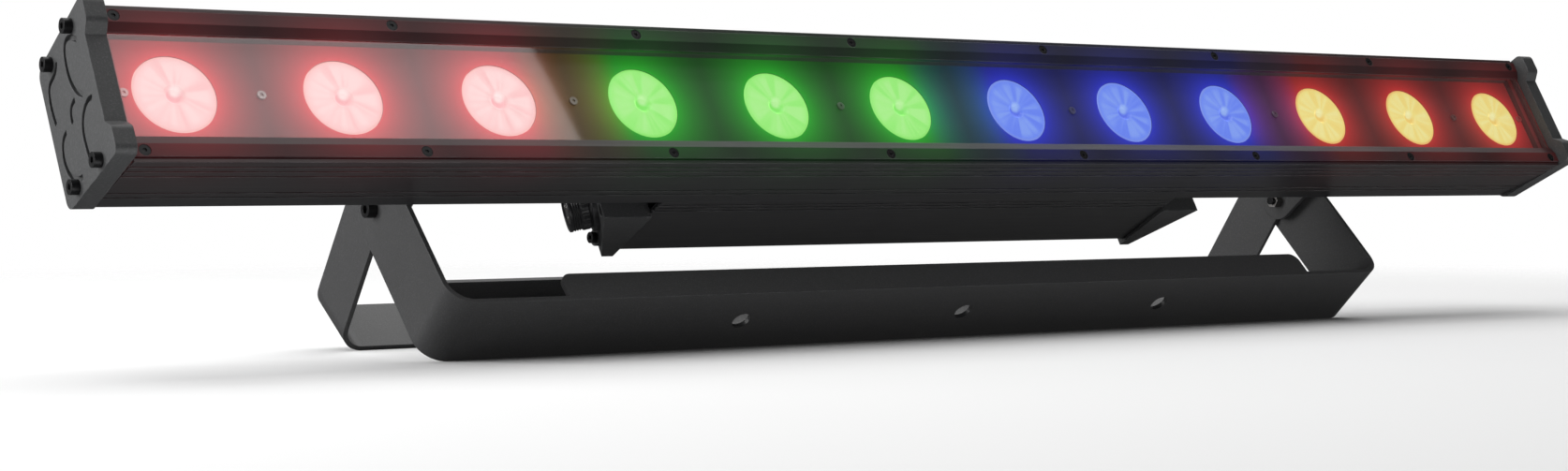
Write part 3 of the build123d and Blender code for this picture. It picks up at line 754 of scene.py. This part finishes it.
def connectorPiece(kind, way):
    sizes = connectorShape
    own = sizes[kind]
    radius = own["radius"]
    tip = Vector(mounts[kind + "_" + way]["pos_m"])
    axis = Vector(mounts[kind + "_" + way]["axis"]).normalized()
    matrix = barMatrix(tip, axis, upward)
    base = -sizes["long"]
    inner = radius - sizes["wall"]
    flange = radius + sizes["flangeOver"]
    bevel, thick = sizes["flangeBevel"], base + sizes["flangeThick"]
    neck = radius - sizes["neckIn"]
    start, end = (base + height for height in sizes["knurled"])
    root, crest = radius - sizes["threadRoot"], radius - sizes["threadCrest"]
    insert, top = radius * sizes["insert"], -sizes["insertTop"]
    profile = [(0, base), (flange, base), (flange, base + sizes["flangeSide"]), (flange - bevel, thick)]
    profile += [(neck, thick), (neck, start - 0.0006), (radius, start), (radius, end)]
    profile += [(radius - sizes["knurlBevel"], end + sizes["knurlBevel"])]
    for turn in range(sizes["threads"]):
        height = base + sizes["threadFrom"] + turn * sizes["threadPitch"]
        profile += [(root, height), (crest, height + 0.0005)]
    profile += [(crest, -0.0004), (neck, 0), (inner + 0.0002, 0)]
    profile += [(inner, -0.0003), (inner, -sizes["mouth"]), (insert, -sizes["mouth"])]
    profile += [(insert, top - 0.0004), (radius * 0.58, top), (0, top)]

    def knurl(r, height, angle):
        if start - 0.0002 < height < end + 0.0002 and r > radius - 0.0001:
            return r - sizes["knurlDeep"] * (cos(own["knurls"] * angle) > 0.3), height
        return r, height

    work = bmesh.new()
    lathe(work, profile, own["knurls"] * 6, knurl)
    finished = finishMesh(f"{kind}_{way}_shell", work, matrix, "connector_black", "head", 30)
    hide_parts(f"{kind}_{way}_connector")
    work = bmesh.new()
    for contact in range(own["contacts"]):
        angle = 2 * pi * (contact + 0.25) / own["contacts"]
        part = bmesh.new()
        pin = own["contactRadius"]
        lathe(part, [(0, -0.0010), (pin, -0.0010), (pin, -0.0006), (pin * 0.6, -0.0003), (0, -0.0003)], 16)
        shift = Vector((cos(angle), sin(angle), 0)) * radius * sizes["contactRing"]
        bmesh.ops.translate(part, vec=shift, verts=part.verts)
        spare = bpy.data.meshes.new("spare")
        part.to_mesh(spare)
        part.free()
        work.from_mesh(spare)
        bpy.data.meshes.remove(spare)
    finishMesh(f"{kind}_{way}_contacts", work, matrix, "screw_steel", "head")


for kind in ("power", "data"):
    for way in ("in", "out"):
        connectorPiece(kind, way)
print("connectors made")

# Floor, fading out into the white around it
floorLook = {"half": 5.0, "albedo": 0.92, "fadeFrom": 0.7, "fadeTo": 1.3}


def makeFloor():
    work = bmesh.new()
    bmesh.ops.create_grid(work, x_segments=24, y_segments=24, size=floorLook["half"])
    mesh = bpy.data.meshes.new("floor")
    work.to_mesh(mesh)
    work.free()
    floor = bpy.data.objects.new("floor", mesh)
    scene.collection.objects.link(floor)
    finish = Finish("paleFloor")
    away = finish.vector("LENGTH", finish.place(), out="Value")
    mottle = finish.grain(0.4, 3.0) * 0.01 + floorLook["albedo"]
    colour = finish.mix(mottle, (0, 0, 0), (1, 1, 1))
    paper = finish.node("ShaderNodeBsdfDiffuse", None, {"Color": colour})
    clear = finish.node("ShaderNodeBsdfTransparent")
    fade = away.rise(floorLook["fadeFrom"], floorLook["fadeTo"])
    faded = finish.node("ShaderNodeMixShader", None, {0: fade, 1: paper, 2: clear})
    mesh.materials.append(finish.output(faded))
    floor.visible_glossy = False


makeFloor()

# Studio: a card that shows in the left of the glass, a roof light and a card beyond the left end
cards = {
    "windowCard": {
        "at": (0.07, -0.70, 1.29),
        "aim": (-0.37, -0.05, 0.13),
        "size": (0.74, 0.62),
        "radiance": 1.45,
    },
    "roof": {
        "at": (0.6, 0.75, 2.0),
        "aim": (0.6, 0.75, 0.0),
        "size": (4.4, 2.2),
        "radiance": 1.85,
    },
    "leftCard": {
        "at": (-1.9, 0.4, 0.55),
        "aim": (-0.3, 0.0, 0.1),
        "size": (1.6, 1.2),
        "radiance": 7.0,
    },
    "lowCard": {
        "at": (0.0, -0.30, 0.006),
        "aim": (0.0, -0.3, 1.0),
        "size": (1.6, 0.36),
        "radiance": 1.4,
    },
}


def makeCard(name, look):
    width, height = look["size"]
    data = bpy.data.lights.new(name, "AREA")
    data.shape = "RECTANGLE"
    data.size = width
    data.size_y = height
    data.energy = look["radiance"] * pi * width * height
    card = bpy.data.objects.new(name, data)
    scene.collection.objects.link(card)
    card.location = look["at"]
    away = Vector(look["aim"]) - Vector(look["at"])
    card.rotation_euler = away.to_track_quat("-Z", "Y").to_euler()
    card.visible_camera = False


for name, look in cards.items():
    makeCard(name, look)

surround = {"seen": 1.0, "low": 0.10}


def makeWorld():
    world = bpy.data.worlds.new("studio")
    world.use_nodes = True
    scene.world = world
    tree = world.node_tree
    tree.nodes.clear()
    path = tree.nodes.new("ShaderNodeLightPath")
    seen = tree.nodes.new("ShaderNodeBackground")
    seen.inputs["Strength"].default_value = surround["seen"]
    dim = tree.nodes.new("ShaderNodeBackground")
    dim.inputs["Strength"].default_value = surround["low"]
    for back in (seen, dim):
        back.inputs["Color"].default_value = (1, 1, 1, 1)
    both = tree.nodes.new("ShaderNodeMixShader")
    out = tree.nodes.new("ShaderNodeOutputWorld")
    tree.links.new(path.outputs["Is Camera Ray"], both.inputs[0])
    tree.links.new(dim.outputs[0], both.inputs[1])
    tree.links.new(seen.outputs[0], both.inputs[2])
    tree.links.new(both.outputs[0], out.inputs["Surface"])


makeWorld()
scene.view_settings.view_transform = "Standard"

# Camera
view = {"at": (-0.9369, -1.1507, 0.0917), "ahead": (0.596, 0.8026, -0.0244), "lens": 60.15}


def makeCamera():
    data = bpy.data.cameras.new("camera")
    data.lens = view["lens"]
    data.sensor_width = 36
    camera = bpy.data.objects.new("camera", data)
    scene.collection.objects.link(camera)
    ahead = Vector(view["ahead"]).normalized()
    right = ahead.cross(Vector((0, 0, 1))).normalized()
    turned = Matrix((right, right.cross(ahead), -ahead)).transposed()
    camera.matrix_world = Matrix.Translation(Vector(view["at"])) @ turned.to_4x4()
    scene.camera = camera


makeCamera()
print("studio ready")
